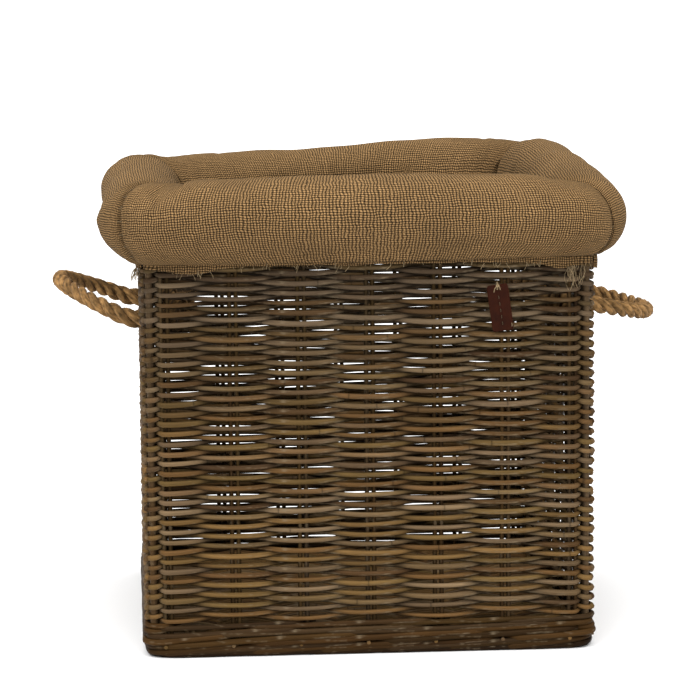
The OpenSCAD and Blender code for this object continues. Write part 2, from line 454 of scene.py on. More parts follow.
def rope_material():
    """Manila fibres that run along each strand, with darker hollows."""
    n = Nodes("manila")
    yarns = n.noise(n.uv(130, 7), detail=3, roughness=0.6)
    fibres = n.noise(n.uv(60, 42), detail=2)
    colour = n.shade(1.0, n.tint(), yarns, (0.34, 0.3), (0.66, 1.35))
    colour = n.shade(0.7, colour, fibres, (0.35, 0.6), (0.65, 1.2))
    relief = n.bump(n.mix("MIX", 0.6, yarns, fibres), 0.6 * MM)
    return n.finish(colour, n.span(fibres, 0.7, 0.95), relief, 0.08, Sheen_Weight=0.04)


def leather_material():
    """Dark red-brown leather with a fine pebbled grain and rubbed edges."""
    n = Nodes("leather")
    pores = n.add("TexVoronoi")
    pores.inputs["Scale"].default_value = 1
    n.link(n.place(1 / PORE), pores.inputs["Vector"])
    patches = n.noise(n.place(90), detail=4)
    colour = n.shade(1.0, n.tint(), patches, (0.3, 0.75), (0.7, 1.3))
    relief = n.bump(pores.outputs["Distance"], 0.12 * MM, 0.6)
    return n.finish(colour, n.span(patches, 0.5, 0.7), relief, 0.06)


def floor_material():
    """Plain white floor with a trace of unevenness."""
    n = Nodes("floor")
    return n.finish(n.ramp(n.noise(n.place(0.8)), (0.0, 0.9), (1.0, 0.94)), 0.9, None, 0.1)


RATTAN = rattan_material()
HESSIAN = hessian_material()
MANILA = rope_material()
LEATHER = leather_material()

BARK = np.array([
    [0.119, 0.072, 0.024],
    [0.163, 0.089, 0.030],
    [0.130, 0.084, 0.045],
    [0.058, 0.030, 0.012],
    [0.123, 0.064, 0.022],
    [0.189, 0.126, 0.066],
])
BARK_SHARE = [0.24, 0.18, 0.22, 0.13, 0.18, 0.05]
DARK_BARK = np.array([0.034, 0.019, 0.009])
JUTE = np.array([0.214, 0.126, 0.053])
JUTE_THREAD = np.array([0.40, 0.29, 0.16])
ROPE_TINT = np.array([0.285, 0.158, 0.058])
KNOT_TINT = ROPE_TINT * 0.45
LEATHER_TINT = np.array([0.0195, 0.0040, 0.0012])


# ---- the wall's plan

def on_wall(s, offset):
    """Points and outward directions at arc length s round the wall's middle line, moved out by offset.
    s is 0 at the middle of the front left corner and grows towards +X."""
    s = np.mod(np.asarray(s, float), LAP)
    side = np.floor(s / SIDE_LENGTH).astype(int)
    local = s - side * SIDE_LENGTH
    quarter = pi / 4 * CORNER
    bend = np.where(local < quarter, (local - quarter) / CORNER, 0.0)
    bend = np.where(local > SIDE_LENGTH - quarter, (local - SIDE_LENGTH + quarter) / CORNER, bend)
    x = np.clip(local - quarter, 0, SIDE_LENGTH - 2 * quarter) - (WALL - CORNER)
    px = x + CORNER * np.sin(bend)
    py = -WALL + CORNER * (1 - np.cos(bend))
    nx, ny = np.sin(bend), -np.cos(bend)
    turn = side * pi / 2
    c, d = np.cos(turn), np.sin(turn)
    qx, qy = px + nx * offset, py + ny * offset
    return (
        np.stack([c * qx - d * qy, d * qx + c * qy], -1),
        np.stack([c * nx - d * ny, d * nx + c * ny], -1),
    )


def turned(points, side):
    """Turns points of the front side to another side."""
    c, d = cos(side * pi / 2), sin(side * pi / 2)
    x, y = points[..., 0], points[..., 1]
    return np.stack([c * x - d * y, d * x + c * y, points[..., 2]], -1)


def along_wall(s, offset, height):
    """A path that lies in the wall at arc lengths s, moved out by offset, at height."""
    plan, _ = on_wall(s, offset)
    return np.column_stack([plan, height])


STOPS = PAIRS + 1  # a corner post, then the pairs of one side
ALL_STOPS = 4 * STOPS
STOP_AT = np.array([
    side * SIDE_LENGTH + (0 if i == 0 else SIDE_LENGTH / 2 + (i - STOPS / 2) * PAIR_PITCH)
    for side in range(4)
    for i in range(STOPS)
])
STOP_REACH = np.tile([POST_D / 2] + [STAKE_D / 2] * PAIRS, 4)
STRAIGHT_END = 0.06  # share of a gap in which a rod still runs straight


def swing_between(s, faces, thick):
    """Offset of a rod at s: outside or inside each stop it passes, with an even bend between two stops."""
    reach = faces * (STOP_REACH + thick)
    at = np.concatenate([[STOP_AT[-1] - LAP], STOP_AT, [STOP_AT[0] + LAP]])
    reach = np.concatenate([[reach[-1]], reach, [reach[0]]])
    k = np.clip(np.searchsorted(at, s, side="right") - 1, 0, len(at) - 2)
    t = (s - at[k]) / (at[k + 1] - at[k])
    t = np.clip((t - STRAIGHT_END) / (1 - 2 * STRAIGHT_END), 0, 1)
    return reach[k] + (reach[k + 1] - reach[k]) * (1 - np.cos(pi * t)) / 2


def samples_on(side, steps):
    """Arc lengths along one side, with steps between neighbouring pairs."""
    end = (side + 1) * SIDE_LENGTH
    stops = [*STOP_AT[side * STOPS:(side + 1) * STOPS], end]
    counts = [6] + [steps] * (PAIRS - 1) + [6]
    gaps = zip(stops, stops[1:], counts)
    return np.concatenate([*(np.linspace(a, b, n, endpoint=False) for a, b, n in gaps), [end]])


# ---- rattan rods

def rod_tint(rng, s, seed, dark=0.0):
    """A rod's colour along its length: one bark colour drifting towards another, dark where dark is 1."""
    first, second = BARK[rng.choice(len(BARK), size=2, p=BARK_SHARE)]
    share = np.clip(0.5 + 0.9 * wobble(seed, s, 0.22), 0, 1)[:, None]
    tint = first * (1 - share) + second * share
    tint = tint * (1 + 0.22 * wobble(seed + 400, s, 0.05)[:, None]) * rng.uniform(0.82, 1.18)
    return tint * (1 - dark) + DARK_BARK * dark


KNUCKLE_GAP = (0.12, 0.34)  # from one ring scar of a rod to the next
SCAR_WIDTH = 0.7 * MM
SWELLING = 0.07  # how much thicker a rod is at a scar


def with_knuckles(rng, s):
    """Adds samples for the rattan's ring scars to s. Returns them and how much of a scar each has."""
    scars = []
    at = s[0] + rng.uniform(0.0, KNUCKLE_GAP[1])
    while at < s[-1] - 4 * MM:
        scars.append(at)
        at += rng.uniform(*KNUCKLE_GAP)
    extra = [c + d * MM for c in scars for d in (-3.0, -1.0, -0.35, 0.35, 1.0, 3.0)]
    merged = np.unique(np.concatenate([s, extra]))
    merged = merged[(merged >= s[0]) & (merged <= s[-1])]
    scar = np.zeros(len(merged))
    for c in scars:
        scar = np.maximum(scar, np.exp(-((merged - c) / SCAR_WIDTH) ** 2))
    return merged, scar


def add_rod(shell, path, radius, tint, scar, start=0.0):
    """A rod with its ring scars."""
    swollen = radius * (1 + SWELLING * scar)
    tube(shell, path, swollen, tint * (1 - 0.6 * scar[:, None]), across=frames_up(path), start=start)


def paint_hollow_shade(shell):
    """Paints shade on what lies deep in the wall and on what faces the inside, where the rods hide each
    other from the light.
    """
    for k, points in enumerate(shell.points):
        q = np.abs(points[:, :2]) - (WALL - CORNER)
        depth = np.linalg.norm(np.maximum(q, 0), axis=1) + np.minimum(q.max(1), 0) - CORNER
        light = 0.22 + 0.78 * ease(np.abs(depth) / (4.4 * MM))
        light *= 1 - 0.4 * np.clip(-depth / (4 * MM), 0, 1)
        shell.tints[k] = shell.tints[k] * light[:, None]


def row_lift(s, row):
    """How far a row wanders up or down at s, from -1 to 1 or so. Rows one above the other wander alike."""
    ring = np.mod(s, LAP) / LAP * tau
    return np.array([
        noise.noise((4 * a, 4 * b, row * 0.9)) + 0.8 * noise.noise((2.2 * a, 2.2 * b, row * 0.13 + 9))
        for a, b in zip(np.cos(ring), np.sin(ring))
    ])


def wall_rods(side):
    """All the weavers of one wall."""
    shell = Shell()
    base = samples_on(side, 9)
    for row in range(int((WEAVE_TOP - WEAVE_BOTTOM) / ROW_PITCH)):
        rng = np.random.default_rng(1000 * side + row)
        s, scar = with_knuckles(rng, base)
        thick = WEAVER_R * rng.uniform(0.86, 1.13)
        radius = thick * (1 + 0.09 * wobble(row + 50 * side, s, 0.16))
        faces = np.array([1 if (k + row) % 2 else -1 for k in range(ALL_STOPS)])
        swing = swing_between(s, faces, thick)
        offset = swing + 0.5 * MM * wobble(row + 90 + side, s, 0.09)
        z = WEAVE_BOTTOM + (row + 0.5) * ROW_PITCH + 1.05 * MM * row_lift(s, row)
        z = z - BOW * swing / (STAKE_D / 2 + thick)
        tint = rod_tint(rng, s, row * 4 + side)
        height_share = ((z - WEAVE_BOTTOM) / (WEAVE_TOP - WEAVE_BOTTOM))[:, None]
        greyer = np.clip(height_share - 0.45, 0, 1) * 0.3
        tint = tint * (1 - greyer) + tint.mean(1, keepdims=True) * greyer
        # Painted shade: the upper rows are darkened as if shaded by the overhanging rim.
        tint = tint * (1 - 0.36 * np.clip((height_share - 0.4) / 0.5, 0, 1))
        add_rod(shell, along_wall(s, offset, z), radius, tint, scar, s[0])
    paint_hollow_shade(shell)
    return shell.make(SIDES[side] + "_wicker", RATTAN)


def wall_stakes(side):
    """The pairs of upright stakes of one wall."""
    shell = Shell()
    low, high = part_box(SIDES[side] + "_stakes")
    z = np.linspace(low.z, high.z, 60)
    for k, centre in enumerate(STOP_AT[side * STOPS + 1:(side + 1) * STOPS]):
        for half in (-1, 1):
            rng = np.random.default_rng(5000 + 100 * side + 2 * k + half)
            seed = 700 + 31 * side + 3 * k + half
            s = centre + half * PAIR_GAP / 2 + 0.35 * MM * wobble(seed, z, 0.07)
            path = along_wall(s, 0.15 * MM * wobble(seed + 9, z, 0.05), z)
            tube(shell, path, STAKE_D / 2, rod_tint(rng, z, seed) * 0.72)
    paint_hollow_shade(shell)
    return shell.make(SIDES[side] + "_uprights", RATTAN)


def corner_uprights():
    """The thicker rod at each corner."""
    shell = Shell()
    low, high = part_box("corner_posts")
    z = np.linspace(low.z, high.z, 70)
    for side in range(4):
        path = along_wall(side * SIDE_LENGTH + 0 * z, 0.3 * MM * wobble(side + 610, z, 0.1), z)
        tint = rod_tint(np.random.default_rng(620 + side), z, 630 + side) * 0.8
        tube(shell, path, POST_D / 2 * (1 + 0.05 * wobble(side + 640, z, 0.06)), tint, 12)
    paint_hollow_shade(shell)
    return shell.make("corner_uprights", RATTAN)


def make_wicker():
    for side, name in enumerate(SIDES):
        wicker, uprights = wall_rods(side), wall_stakes(side)
        claim(wicker, "basket", "rattan_weaver", name + "_weavers")
        claim(uprights, "basket", "rattan_stake", name + "_stakes")
    claim(corner_uprights(), "basket", "rattan_stake", "corner_posts")


# ---- foot

FOOT_DARKENING = np.array([0.38, 0.33, 0.25])  # the foot is darker and browner than the wall


# seed, stops skipped, stops covered, height, climb, radius, distance out, darkness, tuck at the corners
WALE_STROKES = (
    (40, 0, 4, FOOT_TOP + 4.5 * MM, 11 * MM, 3.2 * MM, 0.3 * MM, 0.15, 0),
    (90, 1, 4, FOOT_TOP + 12 * MM, 7 * MM, 2.9 * MM, 0, 0.05, 0),
    (70, 0, 3, FOOT_TOP + 19 * MM, 4 * MM, 2.6 * MM, 0, 0.2, 0),
)
BORDER_STROKES = (
    (140, 0, 3, 0.66 * FOOT_TOP, 9 * MM, 3.0 * MM, -0.8 * MM, 0.45, 4 * MM),
    (190, 0, 2, 0.30 * FOOT_TOP, 1 * MM, 3.3 * MM, -2.6 * MM, 0.85, 6 * MM),
)
OVERRUN = 12 * MM  # how far a foot rod runs on behind its end stops


def stop_at(k):
    """Arc length of stop k, counted on past a full lap."""
    return STOP_AT[k % ALL_STOPS] + k // ALL_STOPS * LAP


def stroke(shell, rng, seed, begin, stops, low, climb, radius, push, dark, tuck):
    """One foot rod: it comes out from behind a stop, climbs over the next ones and dives in again."""
    s = np.linspace(stop_at(begin) - OVERRUN, stop_at(begin + stops) + OVERRUN, 14 * stops)
    t = (s - s[0]) / (s[-1] - s[0])
    to_end = np.minimum(t, 1 - t)
    out = push + (STAKE_D / 2 + radius) * (2 * ease(to_end / 0.16) - 1) + 0.5 * MM * wobble(seed, s, 0.07)
    to_corner = np.abs(np.mod(s + SIDE_LENGTH / 2, SIDE_LENGTH) - SIDE_LENGTH / 2)
    out = out - tuck * np.exp(-((to_corner / (14 * MM)) ** 2))
    z = low + climb * (t - 0.5) + 0.7 * MM * wobble(seed + 5, s, 0.08)
    path = along_wall(s, out, np.maximum(z, radius))
    taper = np.minimum(1, 0.55 + 4 * to_end)
    tint = rod_tint(rng, s, seed + 9, dark) * FOOT_DARKENING
    tube(shell, path, radius * taper, tint, 10, frames_up(path))


def stake_ends(shell):
    """The cut ends of the stakes, which look out between the border and the wale."""
    for side in range(4):
        for pair in STOP_AT[side * STOPS + 1:(side + 1) * STOPS]:
            z = FOOT_TOP + np.linspace(-1, -0.5, 6) * MM
            path = along_wall(np.full(6, pair - 3 * MM), np.linspace(-4, 7.2, 6) * MM, z)
            rng = np.random.default_rng(int(pair * 1e4))
            tube(shell, path, 2.0 * MM, rod_tint(rng, path[:, 0], 320) * 1.1)


def make_foot():
    """The twined rows over the foot and the rolled border under them."""
    wale, border = Shell(), Shell()
    for begin in range(ALL_STOPS):
        rng = np.random.default_rng(9000 + begin)
        for shell, strokes in ((wale, WALE_STROKES), (border, BORDER_STROKES)):
            if shell is wale and begin % 2:
                continue
            for seed, skipped, *shape in strokes:
                stroke(shell, rng, seed + begin, begin + skipped, *shape)
    stake_ends(border)
    for shell, name, node in ((wale, "foot_twining", "foot_wale"), (border, "foot_roll", "foot_border")):
        paint_hollow_shade(shell)
        claim(shell.make(name, RATTAN), "basket", "rattan_foot", node)


# ---- base

STICKS = [60 * MM * i for i in range(-3, 4)]  # x of each pair of sticks
BASE_R, BASE_PITCH = 2.4 * MM, 5.1 * MM


def base_rods(low, high, middle):
    shell = Shell()
    steps = np.linspace(low.x - 3 * MM, -low.x + 3 * MM, 71)
    count = int((high.y - low.y) / BASE_PITCH) + 1
    for row in range(count):
        rng = np.random.default_rng(7000 + row)
        x, scar = with_knuckles(rng, steps)
        faces = [1 if (k + row) % 2 else -1 for k in range(len(STICKS))]
        swing = np.sin(np.interp(x, STICKS, faces) * pi / 2) * (STAKE_D / 2 + BASE_R)
        y = low.y + row * (high.y - low.y) / (count - 1) + 0.3 * MM * wobble(row + 300, x, 0.1)
        path = np.column_stack([x, y, middle + swing])
        add_rod(shell, path, BASE_R, rod_tint(rng, x, 800 + row), scar)
    return shell.make("base_wicker", RATTAN)


def base_frame():
    shell = Shell()
    low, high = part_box("base_frame")
    r = (high.z - low.z) / 2
    edge = high.x - r
    t = np.linspace(0, 1, 40)
    rail = np.column_stack([edge * (2 * t - 1), 0 * t - edge, 0 * t + low.z + r])
    for k in range(4):
        rng = np.random.default_rng(7700 + k)
        tube(shell, turned(rail, k), r, rod_tint(rng, t, 950 + k) * 0.8, 12)
    return shell.make("base_frame_rods", RATTAN)


def base_sticks(middle):
    shell = Shell()
    low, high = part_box("base_sticks")
    y = np.linspace(low.y, high.y, 40)
    for k, centre in enumerate(STICKS):
        for side in (-1, 1):
            rng = np.random.default_rng(7500 + 2 * k + side)
            x = centre + side * PAIR_GAP / 2 + 0.3 * MM * wobble(k + side, y, 0.1)
            path = np.column_stack([x, y, 0 * y + middle])
            tube(shell, path, STAKE_D / 2, rod_tint(rng, y, 900 + k) * 0.8)
    return shell.make("base_sticks_rods", RATTAN)


def make_base():
    low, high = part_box("base_weavers")
    middle = (low.z + high.z) / 2
    claim(base_rods(low, high, middle), "basket", "rattan_weaver", "base_weavers")
    claim(base_frame(), "basket", "rattan_stake", "base_frame")
    claim(base_sticks(middle), "basket", "rattan_stake", "base_sticks")


# ---- padded rim

SLOT = WALL_T / 2 + 1.2 * MM  # half the width of the slot that takes the wall
SLOT_TOP = RIM_Z + 18 * MM
ARC_POINTS, SLOT_POINTS, RIM_STEPS = 52, 5, 150
HEM_TOP = RIM_Z - RIM_R + 7 * MM
HEM_T = 0.6 * MM  # half the thickness of the folded hem


def rim_section():
    """The roll's section as (out, up, pinned): round from the slot's edge over the top, then the slot."""
    open_angle = np.arcsin(SLOT / RIM_R)
    phi = np.linspace(open_angle, tau - open_angle, ARC_POINTS)
    out, up = (RIM_R - 1 * MM) * np.sin(phi), -(RIM_R - 1 * MM) * np.cos(phi)
    rise = np.linspace(up[0], SLOT_TOP - RIM_Z, SLOT_POINTS + 1)[1:]
    out = np.concatenate([out, np.full(SLOT_POINTS, -SLOT), np.full(SLOT_POINTS, SLOT)])
    up = np.concatenate([up, rise, rise[::-1]])
    pinned = np.zeros(len(out), bool)
    pinned[ARC_POINTS:] = True
    pinned[[0, 1, ARC_POINTS - 2, ARC_POINTS - 1]] = True
    return out, up, pinned


def round_corner(t, e):
    """Place along the front side at t (-1 to 1 between the mitres) for a line e outside the wall's middle.
    Returns x, y, the outward direction and the distance left to the mitre."""
    corner = 2 * MM + 60 * MM * np.clip((e + RIM_R) / (2 * RIM_R), 0, 1) ** 2.2
    straight = WALL + e - corner
    total = straight + pi / 4 * corner
    s = np.abs(t) * total
    bend = np.maximum(s - straight, 0) / corner
    x = np.where(bend > 0, straight + corner * np.sin(bend), s) * np.sign(t)
    y = -(WALL + e) + corner * (1 - np.cos(bend))
    return x, y, np.sin(bend) * np.sign(t), -np.cos(bend), total - s


def settle(points):
    """The lean of the whole cushion: fuller towards the back right corner, slumped to the left."""
    x, y, z = points[..., 0], points[..., 1], points[..., 2]
    lift = 16 * MM * ease((x + 0.06) / 0.28) * ease((y + 0.27) / 0.36)
    lift *= 1 - 0.4 * np.clip((x - 0.17) / 0.05, 0, 1) * np.clip((y - 0.08) / 0.1, 0, 1)
    upper = np.clip((z - RIM_Z) / RIM_R, 0, 1.2)
    left = np.clip(-x / 0.24, 0, 1.2) ** 4
    points = points.copy()
    points[..., 2] += lift * upper
    high = np.clip((z - RIM_Z + RIM_R) / (2 * RIM_R), 0, 1)
    points[..., 0] -= 3 * MM * high * (1 + left)
    points[..., 2] += 3.5 * MM * np.clip(x / 0.2, 0, 1) * np.clip(1 - high * 2, 0, 1)
    return points


SEAM_SHARP = (0.15, 1.0, 1.0, 0.4)  # front left, front right, back right, back left
SEAM_PAINTED_SHADE = (0.92, 0.85, 0.6, 0.25)  # how much painted shade darkens the cloth at and next to a sharp seam, standing in for the shadow in its crease
TUCK_RUN = {0: 0.035, 1: 0.007}  # how far the tuck at the front right seam runs, by side


def padding(point, side, corner, to_seam, around, height):
    """How far, in mm, the cover stands out at a point: lumps and folds, drawn in at the seam."""
    x, y, z = point
    near = exp(-to_seam / 0.022)
    lumps = 2.7 * noise.noise((x * 9 + side * 13.7, y * 9, z * 9))
    lumps += 1.5 * noise.noise((x * 24 + side * 5, y * 24, z * 24))
    folds = noise.noise((to_seam * 25 + side * 3, around * 0.21, side + 40))
    pucker = noise.noise((around * 0.42, side * 9.0, 7.0))
    tuck = 0.0
    if corner == 1:
        tuck = 7.5 * exp(-to_seam / TUCK_RUN[side]) * min(1.0, max(0.15, 0.4 + height))
    sharp = SEAM_SHARP[corner]
    seam = -(2.4 + 2.4 * sharp) * exp(-((to_seam / (0.0055 - 0.0025 * sharp)) ** 2))
    seam -= 1.8 * exp(-to_seam / 0.013)
    return lumps * (1 - 0.7 * near) + 0.8 * folds + 1.3 * near * pucker + seam - tuck


def rim_grid(side):
    """Points of one side of the padded rim before it is filled, and which of them are sewn down."""
    out, up, pinned = rim_section()
    t = np.linspace(-1, 1, RIM_STEPS)
    t = np.sign(t) * (1 - (1 - np.abs(t)) ** 1.3)
    T, out_grid = np.meshgrid(t, out, indexing="ij")
    up_grid = np.broadcast_to(up, T.shape)
    x, y, nx, ny, to_seam = round_corner(T, out_grid)
    points = np.stack([x, y, RIM_Z + up_grid], -1)
    ring = np.hypot(out, up)
    normal = np.stack([nx * out / ring, ny * out / ring, np.broadcast_to(up / ring, T.shape)], -1)
    depth = np.zeros_like(T)
    for i in range(RIM_STEPS):
        corner = side if t[i] < 0 else (side + 1) % 4
        for j in range(ARC_POINTS):
            depth[i, j] = padding(points[i, j], side, corner, to_seam[i, j], j, up[j] / RIM_R) * MM
    hold = np.minimum(1, np.arange(ARC_POINTS) / 5)
    depth[:, :ARC_POINTS] *= hold * hold[::-1]
    points = points + normal * depth[..., None]
    return settle(turned(points, side)), pinned


def rim_quads(rounds):
    i, j = np.meshgrid(np.arange(RIM_STEPS - 1), np.arange(rounds), indexing="ij")
    k = (j + 1) % rounds
    quads = np.stack([i * rounds + j, (i + 1) * rounds + j, (i + 1) * rounds + k, i * rounds + k], -1)
    return i, j, quads.reshape(-1, 4)


CLOTH_FRAMES = 20
LARGEST_FILL = 5 * MM  # the furthest that filling moves any point


def fill_cushion(grids, pinned):
    """Blows the four covers up a little as cloth, sewn down at the mitres and the hem, so they wrinkle."""
    rounds = len(pinned)
    quads = rim_quads(rounds)[2]
    scene = bpy.context.scene
    covers = []
    for grid in grids:
        mesh = bpy.data.meshes.new("cover")
        mesh.from_pydata(grid.reshape(-1, 3).tolist(), [], quads.tolist())
        obj = add_object("cover", mesh)
        held = np.broadcast_to(pinned, (RIM_STEPS, rounds)).copy()
        held[:2] = True
        held[-2:] = True
        group = obj.vertex_groups.new(name="sewn")
        group.add(np.flatnonzero(held.ravel()).tolist(), 1.0, "REPLACE")
        cloth = obj.modifiers.new("cloth", "CLOTH")
        settings = cloth.settings
        settings.vertex_group_mass = "sewn"
        settings.quality = 4
        settings.mass = 0.3
        settings.tension_stiffness = settings.compression_stiffness = 20
        settings.shear_stiffness = 4
        settings.bending_stiffness = 0.3
        settings.shrink_min = -0.035
        settings.use_pressure = True
        settings.uniform_pressure_force = 3.0
        settings.effector_weights.gravity = 0
        cloth.collision_settings.use_collision = False
        cloth.point_cache.frame_start, cloth.point_cache.frame_end = 1, CLOTH_FRAMES
        covers.append(obj)
    for frame_number in range(1, CLOTH_FRAMES + 1):
        scene.frame_set(frame_number)
    graph = bpy.context.evaluated_depsgraph_get()
    filled = []
    for obj, grid in zip(covers, grids):
        mesh = obj.evaluated_get(graph).data
        flat = np.empty(len(mesh.vertices) * 3, np.float32)
        mesh.vertices.foreach_get("co", flat)
        move = flat.reshape(grid.shape).astype(float) - grid
        size = np.linalg.norm(move, axis=-1, keepdims=True)
        filled.append(grid + move * np.minimum(1, LARGEST_FILL / np.maximum(size, 1e-9)))
    scene.frame_set(1)
    for obj in covers:
        mesh = obj.data
        bpy.data.objects.remove(obj)
        bpy.data.meshes.remove(mesh)
    return filled


def rim_piece(side, grid):
    """One cover as a closed, smooth mesh."""
    i, j, quads = rim_quads(grid.shape[1])
    out, up, _ = rim_section()
    v = np.concatenate([lengths(np.column_stack([out, up])), [0]])
    v[-1] = v[-2] + (v[1] - v[0])
    run = np.linspace(-WALL, WALL, RIM_STEPS)
    corners = ((0, 0), (1, 0), (1, 1), (0, 1))
    uvs = np.stack([w for a, b in corners for w in (run[i + a], v[j + b])], -1).reshape(-1, 4, 2)
    high = np.clip((grid[..., 2] - RIM_Z) / RIM_R, -1, 1)[..., None]
    # Painted light and shade: the top of the roll is made lighter and its underside darker, as light from
    # above falls on it.
    tint = JUTE * (1 + 0.10 * high)
    # Painted shade along each mitre seam, deepest where the seam is sharp.
    for step, shade in enumerate(SEAM_PAINTED_SHADE):
        tint[step] *= 1 - shade * SEAM_SHARP[side]
        tint[-1 - step] *= 1 - shade * SEAM_SHARP[(side + 1) % 4]
    shell = Shell()
    shell.add(grid.reshape(-1, 3), quads, uvs, tint.reshape(-1, 3))
    piece = shell.make(SIDES[side] + "_rim", HESSIAN)
    smooth = piece.modifiers.new("smooth", "SUBSURF")
    smooth.levels = smooth.render_levels = 1
    graph = bpy.context.evaluated_depsgraph_get()
    mesh = bpy.data.meshes.new_from_object(piece.evaluated_get(graph))
    piece.modifiers.clear()
    piece.data = mesh
    closed = bmesh.new()
    closed.from_mesh(mesh)
    bmesh.ops.holes_fill(closed, edges=[e for e in closed.edges if e.is_boundary])
    closed.to_mesh(mesh)
    closed.free()
    return piece


def seam_stitches(grids):
    """Stitches over the four mitres, from one cover to the next."""
    shell = Shell()
    rng = np.random.default_rng(23)
    for side in range(4):
        here, there = grids[side], grids[(side + 1) % 4]
        for j in range(4, ARC_POINTS - 4, 3):
            a, b = here[-4, j], there[3, j]
            ground = (here[-1, j] + there[0, j]) / 2
            lean = (here[-4, j + 1] - a) * rng.uniform(0.1, 0.5)
            path = smooth_route([a, ground * 0.6 + (a + b) * 0.2, b + lean], 0.8 * MM, 2)
            tube(shell, path, 0.32 * MM, JUTE_THREAD * rng.uniform(0.4, 0.7), 5)
    return shell.make("seam_thread", MANILA)


def hem_drop(x, side):
    """How far the hem hangs below the roll at x along a side."""
    wave = 2.2 * wobble(side + 210, x, 0.06, 3) + 0.6
    wave = wave + 6.5 * np.exp(-(((x + 0.175 + 0.02 * side) / 0.036) ** 2))
    wave = wave + 6.0 * np.exp(-(((x - 0.188) / 0.022) ** 2))
    return np.clip(wave, -2, 13) * MM


def hem(side):
    """The raw edge of the cover, folded down over the outside of the wicker. Returns the piece, its lower
    edge as x and height, its area and its greatest depth."""
    half = SIDE_LENGTH / 2 - 1 * MM
    x = np.linspace(-half, half, 200)
    share = np.linspace(0, 1, 8)
    low = RIM_Z - RIM_R + 1 * MM - hem_drop(x, side) - 0.5 * MM * wobble(side + 77, x, 0.006)
    X, T = np.meshgrid(x, share, indexing="ij")
    Z = HEM_TOP + (low[:, None] - HEM_TOP) * T
    puff = np.array([[noise.noise((a * 22, b * 1.4, side + 5.5)) for b in share] for a in x])
    face = SLOT + (1.0 + 1.2 * puff) * MM * np.sin(T * pi * 0.8)
    s = X + (side + 0.5) * SIDE_LENGTH
    front, back = (np.dstack([on_wall(s, face + thick)[0], Z]) for thick in (HEM_T, -HEM_T))
    uvs = np.stack([X, -Z], -1).reshape(-1, 2)
    shell = Shell()
    slab(shell, front, back, uvs, JUTE * (0.86 - 0.2 * T[..., None]) * np.ones(3), downward=True)
    piece = shell.make(SIDES[side] + "_hem", HESSIAN)
    area = float(np.sum((HEM_TOP - low)[:-1] * np.diff(x)))
    return piece, x, low, area, float(HEM_TOP - low.min())


def loose_threads(shell, side, x, low, rng):
    """Threads frayed out of the hem, and a tuft at the end of the side."""
    tuft = 24 if side == 0 else 13
    spots = [(rng.integers(2, len(x) - 2), rng.uniform(2, 9), 1.0) for _ in range(46)]
    spots += [(len(x) - 2 - rng.integers(0, 10), rng.uniform(10, tuft), 2.6) for _ in range(20)]
    t = np.linspace(0, 1, 6)[:, None]
    for spot, long, spread in spots:
        plan, out = on_wall(x[spot] + (side + 0.5) * SIDE_LENGTH, WALL_T / 2 + 2.4 * MM)
        start = np.array([*plan, low[spot] + 1 * MM])
        lean = np.array([*(out * rng.uniform(0.0, 0.5)), -1.0])
        lean[:2] += np.array([-out[1], out[0]]) * rng.uniform(-0.7, 0.7) / spread
        curl = np.array([rng.uniform(-0.4, 0.4), rng.uniform(-0.4, 0.4), 0.1])
        curl = curl * np.sin(t * pi * rng.uniform(0.6, 1.5))
        line = start + (unit(lean) * t + curl * 0.5) * long * MM
        tube(shell, line, 0.22 * MM * rng.uniform(0.7, 1.4), JUTE_THREAD * rng.uniform(0.6, 1.2), 4)


def hem_stitch(shell, side, at, z):
    """One stitch that holds the hem to the wicker, with its lower end at z."""
    y = -(WALL + WALL_T / 2 + 3.0 * MM)
    bite = np.array([[0, 3, -2.5], [0, -0.6, 0.5], [0.6, 0, 4]]) * MM + [at, y, z]
    tube(shell, turned(smooth_route(bite, 0.8 * MM, 2), side), 0.45 * MM, JUTE_THREAD * 0.6, 5)


def make_rim():
    grids = []
    for side in range(4):
        grid, pinned = rim_grid(side)
        grids.append(grid)
    grids = fill_cushion(grids, pinned)
    for side, name in enumerate(SIDES):
        piece = rim_piece(side, grids[side])
        claim(piece, "basket", "hessian", name + "_foam", name + "_cover")
    claim(seam_stitches(grids), "basket", "jute_thread", "corner_seams")
    frays, stitches = Shell(), Shell()
    rng = np.random.default_rng(77)
    for side in range(4):
        piece, x, low, area, deepest = hem(side)
        loose_threads(frays, side, x, low, rng)
        for k in range(PAIRS - 1):
            at = (k - (PAIRS - 2) / 2) * PAIR_PITCH
            hem_stitch(stitches, side, at, np.interp(at, x, low))
        claim(piece, "basket", "hessian")
    frays = frays.make("hem_threads", MANILA)
    stitches = stitches.make("hem_sewing", MANILA)
    claim(frays, "basket", "jute_thread")
    claim(stitches, "basket", "jute_thread", "hem_stitches")


# ---- ropes

def handle_route(rise, inside):
    """The rope's middle line as x along the wall, y outwards from the hinge line and z up from it."""
    half = ROPE_SPAN / 2
    arc_r = (half**2 + ROPE_REACH**2) / (2 * ROPE_REACH)
    end = np.arcsin(half / arc_r)
    loop = [(arc_r * sin(a), ROPE_REACH - arc_r * (1 - cos(a))) for a in np.linspace(-end, end, 41)]
    c, d = cos(rise), sin(rise)
    outside = [(x, y * c, y * d) for x, y in loop]
    return [(-half, -inside, 0.0), *outside, (half, -inside, 0.0)]


STRAND_SIDES, YARNS = 18, 6
FIBRE_R = 0.11 * MM
KNOT_R = 6.6 * MM  # radius of the rope where it is knotted
FIBRE_TAPER = np.array([1, 1, 0.9, 0.7, 0.4])


